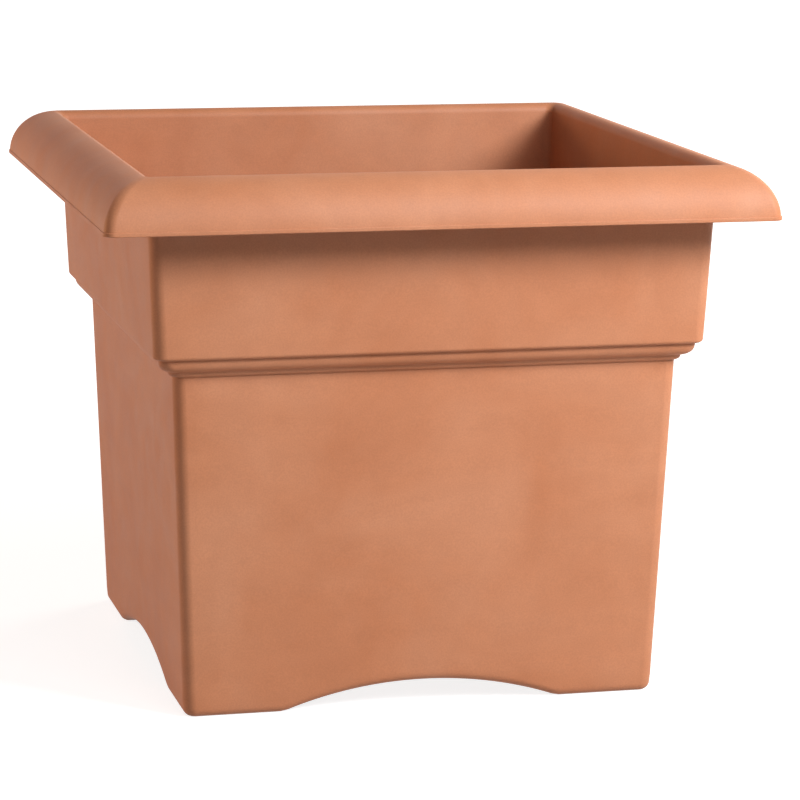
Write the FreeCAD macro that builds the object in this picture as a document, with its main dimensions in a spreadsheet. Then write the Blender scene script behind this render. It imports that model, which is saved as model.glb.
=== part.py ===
import FreeCAD, Part
import math
import os
from collections import namedtuple

import Sketcher

# Driving dimensions of the square planter, in millimetres.
# The planter stands on z = 0, its axis is Z, and its front looks along -Y.
SIZES = {
    # Overall
    "rim_width": 381.0,
    "total_height": 310.4,
    "wall_thickness": 2.5,
    # Rolled rim: one round from the crest down to the bead along its lower edge
    "rim_overhang": 29.3,
    "rim_depth": 28.7,
    "rim_roll_radius": 28.0,
    "rim_bead_height": 2.4,
    "rim_bead_proud": 0.5,
    "rim_corner_radius": 5.8,
    # Crest, where the rim's round meets the lip's round
    "crest_offset": 4.2,
    "lip_radius": 5.5,
    # Collar: the tall upper band under the rim
    "collar_height": 73.8,
    "collar_taper": 3.2,
    "collar_corner_radius": 7.3,
    "collar_edge_radius": 2.2,
    # Moulding under the collar: ledge, large quarter round, step, small quarter round
    "ledge_width": 3.6,
    "large_skirt_height": 1.6,
    "large_round_radius": 6.0,
    "step_height": 3.4,
    "small_round_radius": 2.5,
    "small_ledge_width": 0.3,
    "moulding_corner_radius": 7.0,
    # Lower wall, from the moulding down to the ground
    "wall_taper": 7.4,
    "wall_corner_radius": 7.0,
    # Thick foot ring under the wall, with feet left by a shallow arch in each side
    "foot_ring_width": 9.0,
    "foot_length": 55.0,
    "foot_edge_radius": 5.0,
    "arch_rise": 14.3,
    "arch_end_radius": 15.0,
    # Raised floor with its stiffening ribs
    "floor_height": 19.0,
    "floor_thickness": 2.5,
    "floor_corner_round": 3.0,
    "rib_spacing": 84.0,
    "rib_thickness": 2.0,
    "rib_depth": 3.5,
    # Drain holes and their bosses under the floor
    "drain_spacing": 150.0,
    "drain_hole_diameter": 19.0,
    "boss_diameter": 34.0,
    "boss_depth": 1.5,
    # Press-in drain plug
    "plug_clearance": 0.08,
    "plug_flange_diameter": 27.0,
    "plug_flange_thickness": 2.0,
    "plug_wall": 2.0,
    "plug_cap_thickness": 1.6,
    "plug_grip_thickness": 2.6,
    # Cutting shapes run this far past what they cut
    "cut_overrun": 2.0,
}

# Two places nearer than this are the same
SAME_PLACE = 0.01
SIDES_OF_A_SQUARE = 4
WAYS_THROUGH = 2
FULL_TURN = 360
QUARTER_TURN = 90
CORNERS = {
    "front_left": (-1, -1),
    "front_right": (1, -1),
    "back_left": (-1, 1),
    "back_right": (1, 1),
}

# A corner of an outline, with the distances that are held; None is a place on the axis
Point = namedtuple("Point", "across up held", defaults=("both",))
# The centre of a round stretch between two corners, and its radius, held or not
Round = namedtuple("Round", "across up radius held", defaults=(True,))


class Size:
    """A length with its value now and the formula over the sheet that keeps it so."""

    def __init__(self, value, formula):
        self.value = value
        self.formula = formula

    def join(self, other, sign, result):
        formula = other.formula if isinstance(other, Size) else repr(other)
        return Size(result, f"({self.formula} {sign} {formula})")

    def __add__(self, other):
        return self.join(other, "+", self.value + number(other))

    def __sub__(self, other):
        return self.join(other, "-", self.value - number(other))

    def __mul__(self, other):
        return self.join(other, "*", self.value * number(other))

    def __truediv__(self, other):
        return self.join(other, "/", self.value / number(other))

    def __neg__(self):
        return self * -1

    def root(self):
        return Size(math.sqrt(self.value), f"sqrt({self.formula})")


def number(other):
    """The value of a size, the number itself, or zero for a place on the axis."""
    if other is None:
        return 0
    return other.value if isinstance(other, Size) else other


def read_sheet(doc):
    """Put the driving dimensions in a sheet and return each as a Size."""
    sheet = doc.addObject("Spreadsheet::Sheet", "sizes")
    for row, (alias, value) in enumerate(SIZES.items(), 1):
        sheet.set(f"A{row}", alias)
        sheet.set(f"B{row}", str(value))
        sheet.setAlias(f"B{row}", alias)
    doc.recompute()
    return {alias: Size(float(sheet.get(alias)), f"sizes.{alias}") for alias in SIZES}


def origin_feature(body, role):
    """One of a body's own origin planes or axes."""
    return next(part for part in body.Origin.OriginFeatures if part.Role == role)


def new_sketch(body, name, role, height=None):
    """A sketch on one of the body's origin planes, lifted by a height along its normal."""
    sketch = body.newObject("Sketcher::SketchObject", name)
    sketch.AttachmentSupport = (origin_feature(body, role), [""])
    sketch.MapMode = "FlatFace"
    if height is not None:
        sketch.setExpression("AttachmentOffset.Base.z", height.formula)
    return sketch


def hold(sketch, kind, places, size):
    """Add a dimension to a sketch and tie it to the formula of a size."""
    index = sketch.addConstraint(Sketcher.Constraint(kind, *places, size.value))
    name = f"{kind}_{index}".lower()
    sketch.renameConstraint(index, name)
    sketch.setExpression(f"Constraints.{name}", size.formula)


def hold_point(sketch, point, across, up, held="both"):
    """Fix a point of a sketch at its distances from the origin; None means on the axis."""
    origin = (-1, 1)
    for kind, size, axis, way in (("DistanceX", across, -2, "across"), ("DistanceY", up, -1, "up")):
        if held not in ("both", way):
            continue
        if size is None:
            sketch.addConstraint(Sketcher.Constraint("PointOnObject", *point, axis))
        elif size.value < 0:
            hold(sketch, kind, (*point, *origin), -size)
        else:
            hold(sketch, kind, (*origin, *point), size)


def place(point):
    """Where a point given by sizes lies in its sketch."""
    return FreeCAD.Vector(number(point.across), number(point.up), 0)


def draw_outline(sketch, steps):
    """A closed outline through points, straight unless a Round stands between two of them."""
    points = [step for step in steps if isinstance(step, Point)]
    rounds = {}
    for index, step in enumerate(steps):
        if isinstance(step, Round):
            edge = sum(isinstance(other, Point) for other in steps[:index]) - 1
            rounds[edge] = step
    normal = FreeCAD.Vector(0, 0, 1)
    ends = []
    for edge, point in enumerate(points):
        first = place(point)
        last = place(points[(edge + 1) % len(points)])
        if edge not in rounds:
            sketch.addGeometry(Part.LineSegment(first, last))
            ends.append((1, 2))
            continue
        turn = rounds[edge]
        centre = place(turn)
        from_centre = first - centre
        to_end = last - centre
        start_angle = math.atan2(from_centre.y, from_centre.x)
        end_angle = math.atan2(to_end.y, to_end.x)
        forward = from_centre.x * to_end.y - from_centre.y * to_end.x > 0
        angles = (start_angle, end_angle) if forward else (end_angle, start_angle)
        circle = Part.Circle(centre, normal, turn.radius.value)
        sketch.addGeometry(Part.ArcOfCircle(circle, *angles))
        ends.append((1, 2) if forward else (2, 1))
    for edge, (first, last) in enumerate(ends):
        following = (edge + 1) % len(points)
        places = (edge, last, following, ends[following][0])
        sketch.addConstraint(Sketcher.Constraint("Coincident", *places))
    for edge, turn in rounds.items():
        hold_point(sketch, (edge, 3), turn.across, turn.up)
        if turn.held:
            hold(sketch, "Radius", (edge,), turn.radius)
    for edge, point in enumerate(points):
        hold_point(sketch, (edge, ends[edge][0]), point.across, point.up, point.held)


def rectangle(low_across, low_up, high_across, high_up):
    """The corners of a rectangle."""
    return [
        Point(low_across, low_up),
        Point(high_across, low_up),
        Point(high_across, high_up),
        Point(low_across, high_up),
    ]


def draw_circle(sketch, radius, across, up):
    """A circle held by its radius and its centre."""
    centre = FreeCAD.Vector(across.value, up.value, 0)
    circle = sketch.addGeometry(Part.Circle(centre, FreeCAD.Vector(0, 0, 1), radius.value))
    hold(sketch, "Radius", (circle,), radius)
    hold_point(sketch, (circle, 3), across, up)


def rounded_square(half, radius):
    """The outline of a square about the axis, with rounded corners."""
    flat = half - radius
    steps = []
    for side_x, side_y in ((1, -1), (1, 1), (-1, 1), (-1, -1)):
        before = Point(flat * side_x, half * side_y, "across")
        after = Point(half * side_x, flat * side_y, "up")
        if side_x * side_y > 0:
            before, after = after, before
        steps += [before, Round(flat * side_x, flat * side_y, radius), after]
    return steps


def extrude(body, name, sketch, kind, length=None, reverse=False, both_ways=False):
    """A pad or pocket of a sketch, by a length or through everything."""
    feature = body.newObject(kind, name)
    feature.Profile = sketch
    feature.Reversed = reverse
    if length is None:
        feature.Type = "ThroughAll"
    else:
        feature.setExpression("Length", length.formula)
    if both_ways:
        feature.SideType = "Symmetric"
    return feature


def repeat_around(body, name, feature, count=SIDES_OF_A_SQUARE, turn=FULL_TURN):
    """Copies of a feature turned evenly about the planter's axis."""
    pattern = body.newObject("PartDesign::PolarPattern", name)
    pattern.Originals = [feature]
    pattern.Axis = (origin_feature(body, "Z_Axis"), [""])
    pattern.Angle = turn
    pattern.Occurrences = count
    body.Tip = pattern


def level_edges(shape, half, height):
    """Names of the level edges that run at a half width and a height."""
    names = []
    for index, edge in enumerate(shape.Edges, 1):
        box = edge.BoundBox
        level = max(abs(box.ZMin - height), abs(box.ZMax - height)) < SAME_PLACE
        reach = max(abs(box.XMin), abs(box.XMax), abs(box.YMin), abs(box.YMax))
        if level and abs(reach - half) < SAME_PLACE:
            names.append(f"Edge{index}")
    return names


class Levels:
    """Half widths and heights that the parts of the planter share."""

    def __init__(self, size):
        self.size = size
        wall = size["wall_thickness"]
        self.rim_half = size["rim_width"] / 2
        self.top = size["total_height"]
        # Collar and crest, set in from the rim
        self.collar_top_half = self.rim_half - size["rim_overhang"]
        self.collar_half = self.collar_top_half - size["collar_taper"]
        self.crest_half = self.collar_top_half + size["crest_offset"]
        # Rim
        self.roll_half = self.rim_half - size["rim_bead_proud"]
        self.rim_bottom = self.top - size["rim_depth"]
        self.bead_top = self.rim_bottom + size["rim_bead_height"]
        self.under_crest = self.top - wall
        # The roll's centre, at one distance from the crest and the top of the bead
        across = self.roll_half - self.crest_half
        drop = self.top - self.bead_top
        radius = size["rim_roll_radius"]
        reach = (radius * radius / (across * across + drop * drop) - 1 / 4).root()
        self.roll_centre_half = (self.crest_half + self.roll_half) / 2 - drop * reach
        self.roll_centre = (self.top + self.bead_top) / 2 - across * reach
        # Lip
        self.lip_half = self.crest_half - size["lip_radius"]
        self.lip_centre = self.top - size["lip_radius"]
        # Moulding
        self.ledge = self.rim_bottom - size["collar_height"]
        self.large_half = self.collar_half - size["ledge_width"]
        self.large_centre_half = self.large_half - size["large_round_radius"]
        self.step_half = self.large_centre_half - size["small_ledge_width"]
        self.large_centre = self.ledge - size["large_skirt_height"]
        self.step_top = self.large_centre - size["large_round_radius"]
        self.small_centre_half = self.step_half - size["small_round_radius"]
        self.wall_top_half = self.small_centre_half - size["small_ledge_width"]
        self.wall_top = self.step_top - size["step_height"]
        # Lower wall, foot ring and floor
        self.foot_half = self.wall_top_half - size["wall_taper"]
        self.ring_half = self.foot_half - size["foot_ring_width"]
        self.ring_top = size["floor_height"] + size["floor_thickness"] / 2
        self.floor_bottom = size["floor_height"]
        self.floor_top = self.floor_bottom + size["floor_thickness"]
        self.shelf = self.ledge + wall

    def collar_half_at(self, height):
        """Half width of the tapered collar's outside at a height."""
        size = self.size
        return self.collar_half + size["collar_taper"] * (height - self.ledge) / size["collar_height"]

    def wall_half_at(self, height):
        """Half width of the tapered lower wall's outside at a height."""
        return self.foot_half + self.size["wall_taper"] * height / self.wall_top


def passing(centre, radius, height):
    """Where a round passes a height, outwards of its centre; the sketch finds it again."""
    across, up = centre
    return across.value + math.sqrt(radius.value ** 2 - (height.value - up.value) ** 2)


def outside_steps(size, level):
    """The outside of the wall, from the ground up to the underside of the crest."""
    return [
        Point(level.foot_half, None),
        Point(level.wall_top_half, level.wall_top),
        Point(level.step_half, level.wall_top),
        Point(level.step_half, level.step_top),
        Point(level.large_half, level.step_top),
        Point(level.large_half, level.ledge),
        Point(level.collar_half, level.ledge),
        Point(level.collar_half_at(level.under_crest), level.under_crest),
    ]


def rim_steps(size, level):
    """The rolled rim, from the underside of the crest round its edge and over to the lip."""
    radius = size["rim_roll_radius"]
    under = radius - size["wall_thickness"]
    lip = size["lip_radius"]
    centre = (level.roll_centre_half, level.roll_centre)
    return [
        Point(passing(centre, under, level.under_crest), level.under_crest, "up"),
        Round(*centre, under),
        Point(passing(centre, under, level.rim_bottom), level.rim_bottom, "up"),
        Point(level.rim_half, level.rim_bottom),
        Point(level.rim_half, level.bead_top),
        Point(level.roll_half, level.bead_top, "up"),
        Round(*centre, radius, False),
        Point(level.crest_half, level.top),
        Round(level.crest_half, level.lip_centre, lip, False),
        Point(level.lip_half, level.lip_centre, "up"),
    ]


def inside_steps(size, level):
    """The inside of the wall, from the shelf over the moulding down to the foot ring."""
    wall = size["wall_thickness"]
    large = size["large_round_radius"] - wall
    neck_half = level.large_half - wall
    step_shelf = level.step_top + wall
    step_half = level.step_half - wall
    return [
        Point(level.collar_half_at(level.shelf) - wall, level.shelf),
        Point(neck_half, level.shelf),
        Point(neck_half, level.large_centre, "up"),
        Round(level.large_centre_half, level.large_centre, large),
        Point(level.large_centre_half, step_shelf, "across"),
        Point(step_half, step_shelf),
        Point(step_half, level.wall_top + wall),
        Point(level.wall_top_half - wall, level.wall_top),
        Point(level.wall_half_at(level.ring_top) - wall, level.ring_top),
        Point(level.ring_half, level.ring_top),
        Point(level.ring_half, None),
    ]


def sweep_wall(body, size, level):
    """Carry the wall's whole section round the square, mitred at the corners."""
    path = new_sketch(body, "square_path", "XY_Plane")
    half = level.collar_half
    draw_outline(path, [
        Point(half, None),
        Point(half, half),
        Point(-half, half),
        Point(-half, -half),
        Point(half, -half),
    ])
    section = new_sketch(body, "wall_section", "XZ_Plane")
    steps = outside_steps(size, level) + rim_steps(size, level) + inside_steps(size, level)
    draw_outline(section, steps)
    sweep = body.newObject("PartDesign::AdditivePipe", "wall")
    sweep.Profile = section
    sweep.Spine = (path, [f"Edge{index}" for index, _ in enumerate(path.Geometry, 1)])
    sweep.Transition = "Right corner"
    sweep.Refine = True


def mitre_edges(shape, first, last):
    """Names of the corner edges that run between two places of the section."""
    names = []
    for index, edge in enumerate(shape.Edges, 1):
        ends = [edge.valueAt(edge.FirstParameter), edge.valueAt(edge.LastParameter)]
        ends.sort(key=lambda end: end.z)
        wanted = sorted((first, last), key=lambda point: number(point[1]))
        found = all(
            abs(abs(end.x) - half.value) < SAME_PLACE
            and abs(abs(end.y) - half.value) < SAME_PLACE
            and abs(end.z - number(height)) < SAME_PLACE
            for end, (half, height) in zip(ends, wanted)
        )
        if found:
            names.append(f"Edge{index}")
    return names


def round_mitres(doc, body, name, stretches, radius):
    """Round the four corner edges along stretches of the section, given by their ends."""
    doc.recompute()
    base = body.Tip
    names = []
    for first, last in stretches:
        names += mitre_edges(base.Shape, first, last)
    fillet = body.newObject("PartDesign::Fillet", name)
    fillet.Base = (base, names)
    fillet.setExpression("Radius", radius.formula)


def round_corners(doc, body, size, level):
    """Round the corners of the rim, the collar, the moulding and the lower wall in plan."""
    wall = size["wall_thickness"]
    crest = (level.crest_half, level.top)
    stretches = [
        ((level.rim_half, level.rim_bottom), (level.rim_half, level.bead_top)),
        ((level.roll_half, level.bead_top), crest),
        ((level.lip_half, level.lip_centre), crest),
    ]
    round_mitres(doc, body, "rim_corners", stretches, size["rim_corner_radius"])
    collar_end = (level.collar_half_at(level.under_crest), level.under_crest)
    stretches = [((level.collar_half, level.ledge), collar_end)]
    round_mitres(doc, body, "collar_corners", stretches, size["collar_corner_radius"])
    stretches = [
        ((level.large_half, level.step_top), (level.large_half, level.ledge)),
        ((level.step_half, level.wall_top), (level.step_half, level.step_top)),
    ]
    round_mitres(doc, body, "moulding_corners", stretches, size["moulding_corner_radius"])
    radius = size["wall_corner_radius"]
    stretches = [((level.foot_half, 0), (level.wall_top_half, level.wall_top))]
    round_mitres(doc, body, "wall_corners", stretches, radius)
    wall_end = (level.wall_half_at(level.ring_top) - wall, level.ring_top)
    stretches = [
        (wall_end, (level.wall_top_half - wall, level.wall_top)),
        ((level.ring_half, 0), (level.ring_half, level.ring_top)),
    ]
    round_mitres(doc, body, "wall_inner_corners", stretches, radius - wall)


def round_level_edges(doc, body, name, half, height, radius):
    """Round the level edge that runs round the square at a half width and a height."""
    doc.recompute()
    base = body.Tip
    fillet = body.newObject("PartDesign::Fillet", name)
    fillet.Base = (base, level_edges(base.Shape, half.value, number(height)))
    fillet.setExpression("Radius", radius.formula)


def round_moulding(doc, body, size, level):
    """The collar's lower edge and the two quarter rounds, carried round their corners."""
    large = size["large_round_radius"]
    small = size["small_round_radius"]
    edge = size["collar_edge_radius"]
    round_level_edges(doc, body, "collar_edge", level.collar_half, level.ledge, edge)
    round_level_edges(doc, body, "large_round", level.large_half, level.step_top, large)
    round_level_edges(doc, body, "small_round", level.step_half, level.wall_top, small)


def round_feet(doc, body, size, level):
    """Round the outer lower edge, before the arches leave four feet of it."""
    radius = size["foot_edge_radius"]
    round_level_edges(doc, body, "foot_edge", level.foot_half, 0, radius)


def add_floor(doc, body, size, level):
    """The raised floor, set into the middle of the wall, with a round along its edge."""
    wall = size["wall_thickness"]
    middle = level.wall_half_at(level.floor_bottom) - wall / 2
    sketch = new_sketch(body, "floor_outline", "XY_Plane", level.floor_bottom)
    draw_outline(sketch, rounded_square(middle, size["wall_corner_radius"] - wall / 2))
    extrude(body, "floor", sketch, "PartDesign::Pad", size["floor_thickness"])
    edge_half = level.wall_half_at(level.floor_top) - wall
    rounding = size["floor_corner_round"]
    round_level_edges(doc, body, "floor_round", edge_half, level.floor_top, rounding)


def add_ribs(body, size, level):
    """Four crossing ribs that stiffen the floor from below, from wall to wall."""
    reach = level.foot_half - size["wall_thickness"] / 2
    near = size["rib_spacing"] / 2
    far = near + size["rib_thickness"]
    sketch = new_sketch(body, "rib_outline", "XY_Plane", level.floor_bottom)
    draw_outline(sketch, rectangle(-reach, near, reach, far))
    rib = extrude(body, "rib", sketch, "PartDesign::Pad", size["rib_depth"], reverse=True)
    repeat_around(body, "ribs", rib)


def add_drains(body, size, level):
    """A boss under the floor and a through hole at each drain."""
    centre = size["drain_spacing"] / 2
    sketch = new_sketch(body, "boss_outline", "XY_Plane", level.floor_bottom)
    draw_circle(sketch, size["boss_diameter"] / 2, centre, centre)
    boss = extrude(body, "boss", sketch, "PartDesign::Pad", size["boss_depth"], reverse=True)
    repeat_around(body, "bosses", boss)
    sketch = new_sketch(body, "drain_outline", "XY_Plane", level.floor_top + size["cut_overrun"])
    draw_circle(sketch, size["drain_hole_diameter"] / 2, centre, centre)
    depth = size["floor_thickness"] + size["boss_depth"] + size["cut_overrun"] * 2
    hole = extrude(body, "drain", sketch, "PartDesign::Pocket", depth)
    repeat_around(body, "drains", hole)


def cut_arches(body, size, level):
    """A shallow arch with soft ends through front and back, and again through both sides."""
    half_span = level.foot_half - size["foot_length"]
    rise = size["arch_rise"]
    overrun = size["cut_overrun"]
    end = size["arch_end_radius"]
    # The arch meets the round at its end on the line between their centres, reach long
    reach = (half_span * half_span + rise * rise) / (rise * 2)
    radius = reach - end
    joint = half_span * radius / reach
    joint_up = end * rise / reach
    sketch = new_sketch(body, "arch_outline", "XZ_Plane")
    draw_outline(sketch, [
        Point(half_span, 0, "across"),
        Round(half_span, end, end, False),
        Point(joint, joint_up),
        Round(None, rise - radius, radius, False),
        Point(-joint, joint_up, "up"),
        Round(-half_span, end, end, False),
        Point(-half_span, 0, "across"),
        Point(-half_span, -overrun),
        Point(half_span, -overrun),
    ])
    length = size["rim_width"]
    arch = extrude(body, "arch", sketch, "PartDesign::Pocket", length, both_ways=True)
    repeat_around(body, "arches", arch, WAYS_THROUGH, QUARTER_TURN)


def make_planter_body(doc, size):
    """The one-piece moulded pot: rim, collar, moulding, wall, feet and raised floor."""
    body = doc.addObject("PartDesign::Body", "planter_body")
    level = Levels(size)
    sweep_wall(body, size, level)
    round_corners(doc, body, size, level)
    round_moulding(doc, body, size, level)
    round_feet(doc, body, size, level)
    add_floor(doc, body, size, level)
    add_ribs(body, size, level)
    add_drains(body, size, level)
    cut_arches(body, size, level)
    return body


def make_drain_plug(doc, size, corner, side_x, side_y):
    """A press-in plug: flange under the boss, hollow stem in the hole, bar to grip."""
    body = doc.addObject("PartDesign::Body", f"drain_plug_{corner}")
    flange_half = size["plug_flange_diameter"] / 2
    flange_bottom = -size["plug_flange_thickness"]
    stem_half = size["drain_hole_diameter"] / 2 - size["plug_clearance"]
    stem_top = size["floor_thickness"] + size["boss_depth"]
    cup_half = stem_half - size["plug_wall"]
    cup_top = stem_top - size["plug_cap_thickness"]
    sketch = new_sketch(body, f"plug_section_{corner}", "XZ_Plane")
    draw_outline(sketch, [
        Point(None, cup_top),
        Point(None, stem_top),
        Point(stem_half, stem_top),
        Point(stem_half, None),
        Point(flange_half, None),
        Point(flange_half, flange_bottom),
        Point(cup_half, flange_bottom),
        Point(cup_half, cup_top),
    ])
    turned = body.newObject("PartDesign::Revolution", f"turned_plug_{corner}")
    turned.Profile = sketch
    turned.ReferenceAxis = (sketch, ["V_Axis"])
    turned.Angle = FULL_TURN
    # The grip bar spans the cup and reaches into its wall
    half_bar = size["plug_grip_thickness"] / 2
    reach = cup_half + size["plug_wall"] / 2
    sketch = new_sketch(body, f"grip_outline_{corner}", "XY_Plane", flange_bottom)
    draw_outline(sketch, rectangle(-reach, -half_bar, reach, half_bar))
    height = cup_top - flange_bottom + size["plug_cap_thickness"] / 2
    extrude(body, f"grip_{corner}", sketch, "PartDesign::Pad", height)
    # Seated with its flange against the boss
    place = size["drain_spacing"] / 2
    seat = size["floor_height"] - size["boss_depth"]
    body.setExpression("Placement.Base.x", (place * side_x).formula)
    body.setExpression("Placement.Base.y", (place * side_y).formula)
    body.setExpression("Placement.Base.z", seat.formula)
    return body


def check_document(doc, parts):
    """Stop if any object failed to build or any piece is not one valid solid."""
    doc.recompute()
    for thing in doc.Objects:
        faults = [state for state in thing.State if state in ("Invalid", "Error")]
        if faults:
            raise RuntimeError(f"{thing.Name} did not build: {faults}")
    for part in parts:
        shape = part.Shape
        if shape.isNull() or not shape.isValid() or len(shape.Solids) != 1:
            raise RuntimeError(f"{part.Label} is not one valid solid")


def write_parts(parts):
    """Write each piece to its own STEP file, named after its node."""
    os.makedirs("parts", exist_ok=True)
    for part in parts:
        part.Shape.exportStep(f"parts/{part.Label}.step")
        box = part.Shape.BoundBox
        volume = round(part.Shape.Volume)
        lows = [round(value, 2) for value in (box.XMin, box.YMin, box.ZMin)]
        highs = [round(value, 2) for value in (box.XMax, box.YMax, box.ZMax)]
        print(part.Label, "volume", volume, "from", lows, "to", highs)


def main():
    doc = FreeCAD.newDocument("square_planter")
    size = read_sheet(doc)
    parts = [make_planter_body(doc, size)]
    for corner, (side_x, side_y) in CORNERS.items():
        parts.append(make_drain_plug(doc, size, corner, side_x, side_y))
    check_document(doc, parts)
    write_parts(parts)


main()
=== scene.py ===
"""The look of the square planter: its moulded body, its materials, the light and the camera."""
import math
from collections import namedtuple

import bpy
from mathutils import Matrix, Vector

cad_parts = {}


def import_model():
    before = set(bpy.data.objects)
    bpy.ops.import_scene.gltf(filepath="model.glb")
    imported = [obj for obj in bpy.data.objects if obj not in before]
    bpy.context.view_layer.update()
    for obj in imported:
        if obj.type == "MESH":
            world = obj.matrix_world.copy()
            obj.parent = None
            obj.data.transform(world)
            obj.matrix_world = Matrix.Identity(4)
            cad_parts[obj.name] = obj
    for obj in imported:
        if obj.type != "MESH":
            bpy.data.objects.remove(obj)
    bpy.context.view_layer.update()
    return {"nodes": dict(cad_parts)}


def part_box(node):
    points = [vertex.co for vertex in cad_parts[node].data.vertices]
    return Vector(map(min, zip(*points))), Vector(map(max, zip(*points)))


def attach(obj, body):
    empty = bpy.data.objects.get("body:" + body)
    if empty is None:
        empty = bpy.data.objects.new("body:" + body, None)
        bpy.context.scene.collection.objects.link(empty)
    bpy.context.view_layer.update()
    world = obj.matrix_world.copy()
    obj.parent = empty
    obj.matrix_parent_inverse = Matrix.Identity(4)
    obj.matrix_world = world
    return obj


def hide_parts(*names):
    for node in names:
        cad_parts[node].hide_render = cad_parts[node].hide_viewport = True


MM = 0.001

# Sizes of the body in millimetres, where the frame doesn't give them
WALL = 2.5
RIM_OVERHANG = 29.3
RIM_DEPTH = 28.7
ROLL_RADIUS = 28.0
BEAD_HEIGHT = 2.4
BEAD_PROUD = 0.5
CREST_OFFSET = 4.2
LIP_RADIUS = 5.5
COLLAR_HEIGHT = 73.8
COLLAR_TAPER = 3.2
LEDGE_WIDTH = 3.6
LARGE_SKIRT = 1.6
LARGE_ROUND = 6.0
STEP_HEIGHT = 3.4
SMALL_ROUND = 2.5
SMALL_LEDGE = 0.3
WALL_TAPER = 7.4
FOOT_RING_WIDTH = 9.0
FOOT_LENGTH = 55.0
ARCH_RISE = 14.3
ARCH_END_ROUND = 15.0
FOOT_ROUND = 5.0
FLOOR_HEIGHT = 19.0
FLOOR_THICKNESS = 2.5
FLOOR_ROUND = 3.0
RIB_SPACING = 84.0
RIB_THICKNESS = 2.0
RIB_DEPTH = 3.5
DRAIN_SPACING = 150.0
DRAIN_RADIUS = 9.5
BOSS_RADIUS = 17.0
BOSS_DEPTH = 1.5

# Corner radii in plan
RIM_CORNER = 6.0
CREST_CORNER = 3.6
COLLAR_CORNER = 7.3
WALL_CORNER = 7.0

# Small rounds of the moulded edges
COLLAR_EDGE = 2.2
BEAD_EDGE = 0.5
SHELF_EDGE = 0.9
PLUG_EDGE = 0.4

# Points and rings nearer to each other than this are one
WELD_GAP = 0.01

# Heights of the rows of the lower wall, which follow the arches up to the fade
ARCH_FADE = 60.0
WALL_ROWS = (9.0, 16.0, 26.0, 40.0, 60.0, 95.0, 140.0, 180.0)

# The collar's rows, as shares of its height
COLLAR_ROW_SHARES = (0.25, 0.5, 0.75, 1.0)

# The arch's close rows of points reach this share of its end round past its end
ARCH_REACH_SHARE = 0.25

# A rib's free edge is this share of its root
RIB_EDGE_SHARE = 0.8

# The corner of the floor's round in plan: the least radius, and its growth with the width
FLOOR_CORNER = 1.5
FLOOR_CORNER_SHARE = 0.5

# How finely the body is divided
FOOT_STEPS = 4
ARCH_STEPS = 40
CORNER_STEPS = 8
ROLL_STEPS = 22
LIP_STEPS = 8
ROUND_STEPS = 6
EDGE_STEPS = 3
TURNED_STEPS = 64
OVERRUN = 2.0
CREASE_ANGLE = math.radians(32)

# One ring of the body: half width, height, corner radius in plan, the share of the arches'
# height that it follows, and whether it leans with the wall as it does so
Ring = namedtuple("Ring", "half up corner follows leans", defaults=(0.0, True))

# A noise in the plastic: its waves per metre, detail, roughness and distortion
Noise = namedtuple("Noise", "scale detail roughness distortion", defaults=(0.0,))
CLOUDS = Noise(13.0, 5.0, 0.55, 0.6)
PATCHES = Noise(60.0, 4.0, 0.6)
WISPS = Noise(14.0, 5.0, 0.6)
SPECKS = Noise(1100.0, 2.0, 0.5)
GRAIN = Noise(1600.0, 3.0, 0.6)

# The wisps are this many times wider than they are high
WISP_STRETCH = 6.0

# The clouds' dark, middle and light colours, for the body and for the plugs
CLOUD_STOPS = (0.30, 0.50, 0.72)
BODY_CLAY = ((0.452, 0.154, 0.062), (0.484, 0.178, 0.079), (0.516, 0.203, 0.098))
PLUG_CLAY = ((0.36, 0.125, 0.060), (0.39, 0.140, 0.070), (0.42, 0.158, 0.082))

# Faint tints over the clouds, from dark to light
TINT_STOPS = (0.35, 0.65)
PATCH_TINT = ((0.96, 0.955, 0.95), (1.025, 1.03, 1.035))
WISP_TINT = ((0.98, 0.977, 0.974), (1.013, 1.016, 1.02))
SPECK_TINT = ((0.95, 0.95, 0.95), (1.04, 1.04, 1.04))

# The plastic's roughness from patch to patch, its gloss, and the depth of its grain in metres
ROUGH_STOPS = (0.3, 0.7)
ROUGHNESS = ((0.58, 0.58, 0.58), (0.66, 0.66, 0.66))
SPECULAR_LEVEL = 0.5
GRAIN_STRENGTH = 0.25
GRAIN_DEPTH = 0.0001

# The floor's size in metres, its colour, and its glow to the camera, which grows with the
# distance, in metres: from, to, least, most
FLOOR_SIZE = 60.0
FLOOR_COLOUR = (0.42, 0.42, 0.42, 1.0)
FLOOR_ROUGHNESS = 0.9
FLOOR_GLOW = (0.3, 1.2, 0.85, 1.0)

# The room's light on things. The camera and mirrored rays see it white
ROOM_LIGHT = 0.05
WHITE = (1.0, 1.0, 1.0, 1.0)

# A square soft lamp: its angles round and above the planter in degrees, its distance and size
# in metres, its power in watts and its colour
Lamp = namedtuple("Lamp", "azimuth elevation distance size power colour")
LAMPS = {
    "key": Lamp(42, 32, 1.5, 0.5, 29.3, (0.885, 0.955, 1.0)),
    "front": Lamp(14, 34, 3.0, 1.2, 20.0, (1.0, 0.92, 0.90)),
    "left_fill": Lamp(-120, 6, 3.0, 0.6, 36.0, (1.0, 0.55, 0.22)),
    "back": Lamp(128, 18, 3.0, 1.5, 40.0, (1.0, 0.88, 0.76)),
}
LAMP_TARGET = Vector((0, 0, 0.15))

# The photograph's camera
PHOTO_WIDTH = 800
FOCAL_PIXELS = 3347.0
SENSOR_MM = 36.0
VIEW_AZIMUTH = math.radians(-14.280)
VIEW_ELEVATION = math.radians(11.143)
VIEW_ROLL = math.radians(0.638)
VIEW_DISTANCE = 2.0204
VIEW_TARGET = Vector((0.01976, 0.0, 0.15012))


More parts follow.
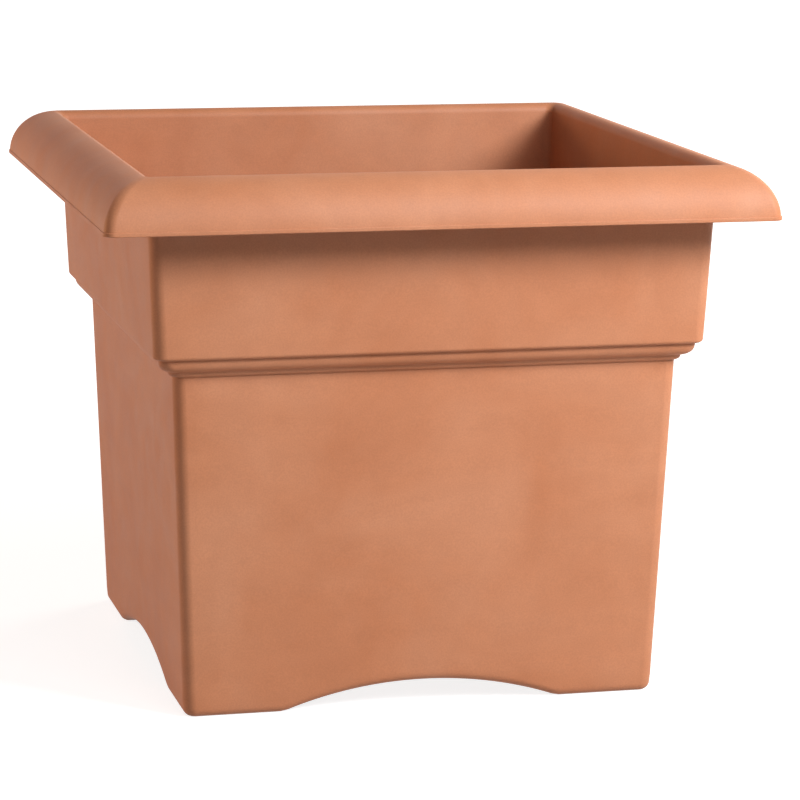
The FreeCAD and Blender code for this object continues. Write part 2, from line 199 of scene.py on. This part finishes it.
class Levels:
    """Half widths and heights that the rings share, in millimetres."""

    def __init__(self, high):
        self.rim_half = high.x / MM
        self.top = high.z / MM
        self.collar_top_half = self.rim_half - RIM_OVERHANG
        self.collar_half = self.collar_top_half - COLLAR_TAPER
        self.crest_half = self.collar_top_half + CREST_OFFSET
        self.roll_half = self.rim_half - BEAD_PROUD
        self.rim_bottom = self.top - RIM_DEPTH
        self.bead_top = self.rim_bottom + BEAD_HEIGHT
        across = self.roll_half - self.crest_half
        drop = self.top - self.bead_top
        reach = math.sqrt(ROLL_RADIUS ** 2 / (across ** 2 + drop ** 2) - 0.25)
        self.roll_half_centre = (self.crest_half + self.roll_half) / 2 - drop * reach
        self.roll_centre = (self.top + self.bead_top) / 2 - across * reach
        self.under_crest = self.top - WALL
        self.lip_half = self.crest_half - LIP_RADIUS
        self.lip_centre = self.top - LIP_RADIUS
        self.ledge = self.rim_bottom - COLLAR_HEIGHT
        self.large_half = self.collar_half - LEDGE_WIDTH
        self.large_centre_half = self.large_half - LARGE_ROUND
        self.step_half = self.large_centre_half - SMALL_LEDGE
        self.large_centre = self.ledge - LARGE_SKIRT
        self.step_top = self.large_centre - LARGE_ROUND
        self.small_half = self.step_half - SMALL_ROUND
        self.wall_top_half = self.small_half - SMALL_LEDGE
        self.wall_top = self.step_top - STEP_HEIGHT
        self.foot_half = self.wall_top_half - WALL_TAPER
        self.foot_ring_half = self.foot_half - FOOT_RING_WIDTH
        self.floor_top = FLOOR_HEIGHT + FLOOR_THICKNESS
        self.wall_slope = WALL_TAPER / self.wall_top
        self.arch_half = self.foot_half - FOOT_LENGTH
        both = (self.arch_half ** 2 + ARCH_RISE ** 2) / (2 * ARCH_RISE)
        self.arch_radius = both - ARCH_END_ROUND
        self.arch_joint = self.arch_half * self.arch_radius / both

    def roll_angle(self, up, radius):
        """Where round the roll a height lies, in degrees from level."""
        return math.degrees(math.asin((up - self.roll_centre) / radius))

    def collar_at(self, up):
        return self.collar_half + COLLAR_TAPER * (up - self.ledge) / COLLAR_HEIGHT

    def wall_at(self, up):
        return self.foot_half + self.wall_slope * up

    def ground_lift(self, across, along):
        """How far an arch lifts the lower edge off the ground at a place."""
        near = min(abs(across), abs(along))
        if near < self.arch_joint:
            return math.sqrt(self.arch_radius ** 2 - near ** 2) - self.arch_radius + ARCH_RISE
        if near < self.arch_half:
            return ARCH_END_ROUND - math.sqrt(ARCH_END_ROUND ** 2 - (self.arch_half - near) ** 2)
        return 0.0


def arc(half, up, radius, start, end, steps):
    """Places on a round stretch of the section, from one angle to another in degrees."""
    for step in range(steps + 1):
        angle = math.radians(start + (end - start) * step / steps)
        yield half + radius * math.cos(angle), up + radius * math.sin(angle)


def foot_rings(level):
    """The foot ring, from the floor's underside down and round its outer lower edge."""
    inner_corner = WALL_CORNER - WALL
    yield Ring(level.foot_ring_half, FLOOR_HEIGHT, inner_corner)
    yield Ring(level.foot_ring_half, 0, inner_corner, 1.0, False)
    centre = level.foot_half - FOOT_ROUND
    for half, up in arc(centre, FOOT_ROUND, FOOT_ROUND, -90, 0, ROUND_STEPS):
        yield Ring(half, up, WALL_CORNER - FOOT_ROUND + half - centre, 1.0)


def outside_rings(level):
    """The outside, from the feet up over the moulding to the underside of the rim."""
    corner = WALL_CORNER
    for up in WALL_ROWS:
        share = max(0.0, 1 - up / ARCH_FADE)
        yield Ring(level.wall_at(up), up, corner, share)
    yield Ring(level.wall_top_half, level.wall_top, corner)
    for half, up in arc(level.small_half, level.wall_top + SMALL_ROUND, SMALL_ROUND, -90, 0, ROUND_STEPS):
        yield Ring(half, up, corner)
    for half, up in arc(level.large_centre_half, level.large_centre, LARGE_ROUND, -90, 0, ROUND_STEPS):
        yield Ring(half, up, corner)
    yield Ring(level.large_half, level.ledge, corner)
    corner = COLLAR_CORNER
    edge = COLLAR_EDGE
    for half, up in arc(level.collar_half - edge, level.ledge + edge, edge, -90, 0, EDGE_STEPS):
        yield Ring(half, up, corner)
    for share in COLLAR_ROW_SHARES:
        up = level.ledge + share * (level.under_crest - WALL - level.ledge)
        yield Ring(level.collar_at(up), up, corner)


def rim_rings(level):
    """The rim, from its underside round the bead and the roll to the lip."""
    middle = level.roll_half_centre
    under = ROLL_RADIUS - WALL
    edge = BEAD_EDGE
    start = level.roll_angle(level.under_crest, under)
    end = level.roll_angle(level.rim_bottom + edge, under)
    for half, up in arc(middle, level.roll_centre, under, start, end, ROLL_STEPS // 2):
        yield Ring(half, up, rim_corner(level, half))
    inner = middle + under * math.cos(math.radians(end))
    for half, up in arc(inner + edge, level.rim_bottom + edge, edge, 180, 270, EDGE_STEPS):
        yield Ring(half, up, RIM_CORNER)
    outer = level.rim_half - edge
    for half, up in arc(outer, level.rim_bottom + edge, edge, -90, 0, EDGE_STEPS):
        yield Ring(half, up, RIM_CORNER)
    for half, up in arc(outer, level.bead_top - edge, edge, 0, 90, EDGE_STEPS):
        yield Ring(half, up, RIM_CORNER)
    start = level.roll_angle(level.bead_top, ROLL_RADIUS)
    end = level.roll_angle(level.top, ROLL_RADIUS)
    for half, up in arc(middle, level.roll_centre, ROLL_RADIUS, start, end, ROLL_STEPS):
        yield Ring(half, up, rim_corner(level, half))
    inner_corner = COLLAR_CORNER - WALL
    steps = arc(level.crest_half, level.lip_centre, LIP_RADIUS, 90, 180, LIP_STEPS)
    for index, (half, up) in enumerate(steps):
        if index:
            share = math.sqrt(index / LIP_STEPS)
            yield Ring(half, up, CREST_CORNER + share * (inner_corner - CREST_CORNER))


def rim_corner(level, half):
    """The rim's corner radius in plan eases from the bead to the crest."""
    share = (level.rim_half - half) / (level.rim_half - level.crest_half)
    return RIM_CORNER + min(share, 1.0) * (CREST_CORNER - RIM_CORNER)


def inside_rings(level):
    """The inside, from the lip down over the moulding's back to the floor."""
    corner = COLLAR_CORNER - WALL
    shelf = level.ledge + WALL
    for share in COLLAR_ROW_SHARES[:-1]:
        up = level.lip_centre + share * (shelf - level.lip_centre)
        half = level.lip_half + share * (level.collar_at(shelf) - WALL - level.lip_half)
        yield Ring(half, up, corner)
    half = level.collar_at(shelf) - WALL
    edge = SHELF_EDGE
    for place, up in arc(half - edge, shelf + edge, edge, 0, -90, EDGE_STEPS):
        yield Ring(place, up, corner)
    corner = WALL_CORNER - WALL
    neck = level.large_half - WALL
    for place, up in arc(neck + edge, shelf - edge, edge, 90, 180, EDGE_STEPS):
        yield Ring(place, up, corner)
    large = LARGE_ROUND - WALL
    for place, up in arc(level.large_centre_half, level.large_centre, large, 0, -90, ROUND_STEPS):
        yield Ring(place, up, corner)
    step = level.step_half - WALL
    for place, up in arc(step + edge, level.step_top + WALL - edge, edge, 90, 180, EDGE_STEPS):
        yield Ring(place, up, corner)
    yield Ring(step, level.wall_top + WALL, corner)
    yield Ring(level.wall_top_half - WALL, level.wall_top, corner)
    for up in reversed(WALL_ROWS):
        if up > level.floor_top + FLOOR_ROUND:
            yield Ring(level.wall_at(up) - WALL, up, corner)
    floor = level.floor_top + FLOOR_ROUND
    half = level.wall_at(floor) - WALL - FLOOR_ROUND
    least = max(corner - FLOOR_ROUND, FLOOR_CORNER)
    for place, up in arc(half, floor, FLOOR_ROUND, 0, -90, ROUND_STEPS):
        yield Ring(place, up, least + (place - half) * FLOOR_CORNER_SHARE)


def body_rings(level):
    """All rings from the floor's underside to its top, without those that lie on the one before."""
    rings = list(foot_rings(level))
    for stretch in (outside_rings, rim_rings, inside_rings):
        for ring in stretch(level):
            if math.hypot(ring.half - rings[-1].half, ring.up - rings[-1].up) > WELD_GAP:
                rings.append(ring)
    return rings


def side_shares(level):
    """Where a ring's points lie along a side, closer over the arch, from -1 to 1."""
    end = (level.arch_half + ARCH_END_ROUND * ARCH_REACH_SHARE) / (level.foot_half - WALL_CORNER)
    shares = [-1 + (1 - end) * step / FOOT_STEPS for step in range(FOOT_STEPS)]
    shares += [-end + 2 * end * step / ARCH_STEPS for step in range(ARCH_STEPS)]
    shares += [end + (1 - end) * step / FOOT_STEPS for step in range(FOOT_STEPS + 1)]
    return shares


def ring_places(level, ring, shares):
    """The points of a ring, round the square."""
    def front(half):
        flat = half - ring.corner
        places = [(share * flat, -half) for share in shares]
        for step in range(1, CORNER_STEPS):
            angle = math.radians(90 * step / CORNER_STEPS)
            places.append((flat + ring.corner * math.sin(angle), -flat - ring.corner * math.cos(angle)))
        return places

    plain = front(ring.half)
    places = []
    for index, (across, along) in enumerate(plain):
        lift = ring.follows * level.ground_lift(across, along)
        if lift and ring.leans:
            across, along = front(ring.half + level.wall_slope * lift)[index]
        places.append((across, along, ring.up + lift))
    every = []
    for side in range(4):
        turn = Matrix.Rotation(math.radians(90 * side), 3, "Z")
        every += [turn @ Vector(place) * MM for place in places]
    return every


def make_body_mesh(level):
    """One closed mesh through all rings, capped in the middle of the floor."""
    shares = side_shares(level)
    rings = body_rings(level)
    places = []
    for ring in rings:
        places += ring_places(level, ring, shares)
    count = len(places) // len(rings)
    faces = [tuple(reversed(range(count)))]
    for row in range(len(rings) - 1):
        for step in range(count):
            following = (step + 1) % count
            low, high = row * count, (row + 1) * count
            faces.append((low + step, low + following, high + following, high + step))
    last = (len(rings) - 1) * count
    faces.append(tuple(range(last, last + count)))
    mesh = bpy.data.meshes.new("planter_body_moulded")
    mesh.from_pydata(places, [], faces)
    mesh.validate()
    return mesh


def new_object(name, mesh):
    """Put a mesh in the scene under a name."""
    thing = bpy.data.objects.new(name, mesh)
    bpy.context.scene.collection.objects.link(thing)
    return thing


def turned_mesh(name, section):
    """A closed mesh that carries a section, in millimetres, round the Z axis."""
    places = []
    for step in range(TURNED_STEPS):
        angle = 2 * math.pi * step / TURNED_STEPS
        places += [(r * math.cos(angle) * MM, r * math.sin(angle) * MM, up * MM) for r, up in section]
    count = len(section)
    faces = []
    for step in range(TURNED_STEPS):
        here, there = step * count, (step + 1) % TURNED_STEPS * count
        for index in range(count):
            following = (index + 1) % count
            faces.append((here + index, here + following, there + following, there + index))
    mesh = bpy.data.meshes.new(name)
    mesh.from_pydata(places, [], faces)
    return mesh


def cut_drains(body):
    """Cut the four round holes through the floor."""
    low = (FLOOR_HEIGHT - OVERRUN) * MM
    high = (FLOOR_HEIGHT + FLOOR_THICKNESS + OVERRUN) * MM
    place = DRAIN_SPACING / 2 * MM
    for side_x in (-1, 1):
        for side_y in (-1, 1):
            spot = Matrix.Translation((place * side_x, place * side_y, (low + high) / 2))
            bpy.ops.mesh.primitive_cylinder_add(
                vertices=TURNED_STEPS, radius=DRAIN_RADIUS * MM, depth=high - low,
                location=spot.translation,
            )
            cutter = bpy.context.object
            cut = body.modifiers.new("drain", "BOOLEAN")
            cut.object = cutter
            cut.operation = "DIFFERENCE"
            cut.solver = "EXACT"
            settle(body)
            bpy.data.objects.remove(cutter)


def settle(thing):
    """Apply an object's modifiers to its mesh."""
    graph = bpy.context.evaluated_depsgraph_get()
    mesh = bpy.data.meshes.new_from_object(thing.evaluated_get(graph))
    thing.modifiers.clear()
    thing.data = mesh


def add_bosses():
    """The rings round the drains, under the floor."""
    under = FLOOR_HEIGHT - BOSS_DEPTH
    section = [
        (DRAIN_RADIUS, under),
        (DRAIN_RADIUS, FLOOR_HEIGHT),
        (BOSS_RADIUS, FLOOR_HEIGHT),
        (BOSS_RADIUS, under + BEAD_EDGE),
        (BOSS_RADIUS - BEAD_EDGE, under),
    ]
    place = DRAIN_SPACING / 2 * MM
    bosses = []
    for side_x in (-1, 1):
        for side_y in (-1, 1):
            mesh = turned_mesh("boss", section)
            mesh.transform(Matrix.Translation((place * side_x, place * side_y, 0)))
            bosses.append(new_object("boss", mesh))
    return bosses


def add_ribs(level):
    """Four crossing ribs under the floor, slightly thinner at their free edge."""
    reach = level.foot_half - WALL / 2
    near = RIB_SPACING / 2
    middle = near + RIB_THICKNESS / 2
    root, free = RIB_THICKNESS / 2, RIB_THICKNESS / 2 * RIB_EDGE_SHARE
    ribs = []
    for side in range(4):
        places = []
        for up, half in ((FLOOR_HEIGHT, root), (FLOOR_HEIGHT - RIB_DEPTH, free)):
            for across, along in ((-reach, -half), (reach, -half), (reach, half), (-reach, half)):
                places.append(Vector((across, middle + along, up)) * MM)
        faces = [(0, 1, 2, 3), (7, 6, 5, 4), (4, 5, 1, 0), (5, 6, 2, 1), (6, 7, 3, 2), (7, 4, 0, 3)]
        mesh = bpy.data.meshes.new("rib")
        mesh.from_pydata(places, [], faces)
        mesh.transform(Matrix.Rotation(math.radians(90 * side), 4, "Z"))
        ribs.append(new_object("rib", mesh))
    return ribs


def soften_plug(name, plain):
    """A drain plug with softened edges, over the frame's plain one."""
    mesh = plain.data.copy()
    mesh.name = f"{name}_moulded"
    plug = new_object(mesh.name, mesh)
    weld = plug.modifiers.new("weld", "WELD")
    weld.merge_threshold = WELD_GAP * MM
    bevel = plug.modifiers.new("edges", "BEVEL")
    bevel.width = PLUG_EDGE * MM
    bevel.segments = EDGE_STEPS
    bevel.limit_method = "ANGLE"
    bevel.angle_limit = CREASE_ANGLE
    settle(plug)
    for face in plug.data.polygons:
        face.use_smooth = True
    weigh = plug.modifiers.new("normals", "WEIGHTED_NORMAL")
    weigh.keep_sharp = True
    settle(plug)
    return plug


def make_body(level):
    """The moulded body: rings, drains, bosses and ribs in one object."""
    body = new_object("planter_body_moulded", make_body_mesh(level))
    cut_drains(body)
    extras = add_bosses() + add_ribs(level)
    with bpy.context.temp_override(
        active_object=body, object=body, selected_objects=[body] + extras,
        selected_editable_objects=[body] + extras,
    ):
        bpy.ops.object.join()
    for face in body.data.polygons:
        face.use_smooth = True
    body.data.set_sharp_from_angle(angle=CREASE_ANGLE)
    weigh = body.modifiers.new("normals", "WEIGHTED_NORMAL")
    weigh.keep_sharp = True
    settle(body)
    body.name = "planter_body_moulded"
    body.data.name = "planter_body_moulded"
    return body


def noise(tree, place, kind):
    """A noise in the object's own metres."""
    made = tree.nodes.new("ShaderNodeTexNoise")
    made.inputs["Scale"].default_value = kind.scale
    made.inputs["Detail"].default_value = kind.detail
    made.inputs["Roughness"].default_value = kind.roughness
    made.inputs["Distortion"].default_value = kind.distortion
    tree.links.new(place, made.inputs["Vector"])
    return made.outputs["Fac"]


def ramp(tree, value, stops, colours):
    """A ramp over a value, from places and their colours."""
    made = tree.nodes.new("ShaderNodeValToRGB")
    points = made.color_ramp.elements
    while len(points) < len(stops):
        points.new(1.0)
    for point, place, colour in zip(points, stops, colours):
        point.position = place
        point.color = (*colour, 1.0)
    tree.links.new(value, made.inputs["Fac"])
    return made.outputs["Color"]


def tinted(tree, colour, value, tint):
    """A colour under a faint tint that follows a noise."""
    made = tree.nodes.new("ShaderNodeMix")
    made.data_type = "RGBA"
    made.blend_type = "MULTIPLY"
    made.inputs[0].default_value = 1.0
    tree.links.new(colour, made.inputs[6])
    tree.links.new(ramp(tree, value, TINT_STOPS, tint), made.inputs[7])
    return made.outputs[2]


def terracotta(name, clay):
    """Matte moulded plastic in a mottled terracotta colour, with a fine grain."""
    material = bpy.data.materials.new(name)
    material.use_nodes = True
    tree = material.node_tree
    shader = tree.nodes["Principled BSDF"]
    place = tree.nodes.new("ShaderNodeTexCoord").outputs["Object"]
    stretch = tree.nodes.new("ShaderNodeMapping")
    stretch.inputs["Scale"].default_value = (1.0, 1.0, WISP_STRETCH)
    tree.links.new(place, stretch.inputs["Vector"])

    patches = noise(tree, place, PATCHES)
    wisps = noise(tree, stretch.outputs["Vector"], WISPS)
    colour = ramp(tree, noise(tree, place, CLOUDS), CLOUD_STOPS, clay)
    colour = tinted(tree, colour, patches, PATCH_TINT)
    colour = tinted(tree, colour, wisps, WISP_TINT)
    colour = tinted(tree, colour, noise(tree, place, SPECKS), SPECK_TINT)
    tree.links.new(colour, shader.inputs["Base Color"])

    rough = ramp(tree, patches, ROUGH_STOPS, ROUGHNESS)
    tree.links.new(rough, shader.inputs["Roughness"])
    shader.inputs["Specular IOR Level"].default_value = SPECULAR_LEVEL

    bump = tree.nodes.new("ShaderNodeBump")
    bump.inputs["Strength"].default_value = GRAIN_STRENGTH
    bump.inputs["Distance"].default_value = GRAIN_DEPTH
    tree.links.new(noise(tree, place, GRAIN), bump.inputs["Height"])
    tree.links.new(bump.outputs["Normal"], shader.inputs["Normal"])
    return material


def dress(thing, material):
    """Give an object one material."""
    thing.data.materials.clear()
    thing.data.materials.append(material)
    for face in thing.data.polygons:
        face.material_index = 0


def seen(tree):
    """One for the camera's and mirrored rays, zero for the rays that light things."""
    path = tree.nodes.new("ShaderNodeLightPath")
    total = path.outputs["Is Camera Ray"]
    for name in ("Is Glossy Ray", "Is Transmission Ray"):
        joined = tree.nodes.new("ShaderNodeMath")
        joined.operation = "ADD"
        tree.links.new(total, joined.inputs[0])
        tree.links.new(path.outputs[name], joined.inputs[1])
        total = joined.outputs["Value"]
    return total


def make_floor():
    """A plain pale floor that keeps the planter's shadow and is white further off."""
    bpy.ops.mesh.primitive_plane_add(size=FLOOR_SIZE, location=(0, 0, 0))
    floor = bpy.context.object
    floor.name = "studio_floor"
    material = bpy.data.materials.new("pale_floor")
    material.use_nodes = True
    tree = material.node_tree
    shader = tree.nodes["Principled BSDF"]
    shader.inputs["Base Color"].default_value = FLOOR_COLOUR
    shader.inputs["Roughness"].default_value = FLOOR_ROUGHNESS
    shader.inputs["Emission Color"].default_value = WHITE
    place = tree.nodes.new("ShaderNodeTexCoord").outputs["Object"]
    far = tree.nodes.new("ShaderNodeVectorMath")
    far.operation = "LENGTH"
    tree.links.new(place, far.inputs[0])
    glow = tree.nodes.new("ShaderNodeMapRange")
    for socket, value in zip(("From Min", "From Max", "To Min", "To Max"), FLOOR_GLOW):
        glow.inputs[socket].default_value = value
    tree.links.new(far.outputs["Value"], glow.inputs["Value"])
    strength = tree.nodes.new("ShaderNodeMath")
    strength.operation = "MULTIPLY"
    tree.links.new(glow.outputs["Result"], strength.inputs[0])
    tree.links.new(seen(tree), strength.inputs[1])
    tree.links.new(strength.outputs["Value"], shader.inputs["Emission Strength"])
    dress(floor, material)


def direction(azimuth, elevation):
    """The way out from the planter at two angles in radians, round from the front and up."""
    level = math.cos(elevation)
    return Vector((math.sin(azimuth) * level, -math.cos(azimuth) * level, math.sin(elevation)))


def aim(thing, target):
    """Turn a light towards a place."""
    thing.rotation_mode = "QUATERNION"
    thing.rotation_quaternion = (target - thing.location).to_track_quat("-Z", "Y")


def make_lamp(name, lamp):
    """A square soft lamp that looks at the planter."""
    data = bpy.data.lights.new(name, "AREA")
    data.shape = "SQUARE"
    data.size = lamp.size
    data.energy = lamp.power
    data.color = lamp.colour
    light = bpy.data.objects.new(name, data)
    bpy.context.scene.collection.objects.link(light)
    way = direction(math.radians(lamp.azimuth), math.radians(lamp.elevation))
    light.location = LAMP_TARGET + way * lamp.distance
    aim(light, LAMP_TARGET)


def make_room():
    """A white room that gives little light of its own."""
    world = bpy.data.worlds.new("room")
    world.use_nodes = True
    tree = world.node_tree
    back = tree.nodes["Background"]
    back.inputs["Color"].default_value = WHITE
    strength = tree.nodes.new("ShaderNodeMapRange")
    strength.inputs["To Min"].default_value = ROOM_LIGHT
    strength.inputs["To Max"].default_value = 1.0
    tree.links.new(seen(tree), strength.inputs["Value"])
    tree.links.new(strength.outputs["Result"], back.inputs["Strength"])
    bpy.context.scene.world = world


def make_camera():
    """The photograph's viewing angle, field of view and tilt."""
    data = bpy.data.cameras.new("photo_camera")
    data.sensor_width = SENSOR_MM
    data.lens = SENSOR_MM * FOCAL_PIXELS / PHOTO_WIDTH
    camera = bpy.data.objects.new("photo_camera", data)
    bpy.context.scene.collection.objects.link(camera)
    back = direction(VIEW_AZIMUTH, VIEW_ELEVATION)
    right = (-back).cross(Vector((0, 0, 1))).normalized()
    up = back.cross(right)
    c, s = math.cos(VIEW_ROLL), math.sin(VIEW_ROLL)
    axes = Matrix((c * right + s * up, -s * right + c * up, back)).transposed().to_4x4()
    camera.matrix_world = Matrix.Translation(VIEW_TARGET + back * VIEW_DISTANCE) @ axes
    bpy.context.scene.camera = camera


def main():
    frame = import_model()
    bpy.context.scene.view_settings.view_transform = "Standard"
    low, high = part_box("planter_body")
    level = Levels(high)

    body = make_body(level)
    dress(body, terracotta("mottled_terracotta", BODY_CLAY))
    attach(body, "planter")
    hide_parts("planter_body")

    plug_clay = terracotta("plug_terracotta", PLUG_CLAY)
    for name, plain in list(frame["nodes"].items()):
        if name.startswith("drain_plug"):
            plug = soften_plug(name, plain)
            dress(plug, plug_clay)
            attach(plug, name)
            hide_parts(name)

    make_floor()
    make_room()
    for name, lamp in LAMPS.items():
        make_lamp(name, lamp)
    make_camera()


main()
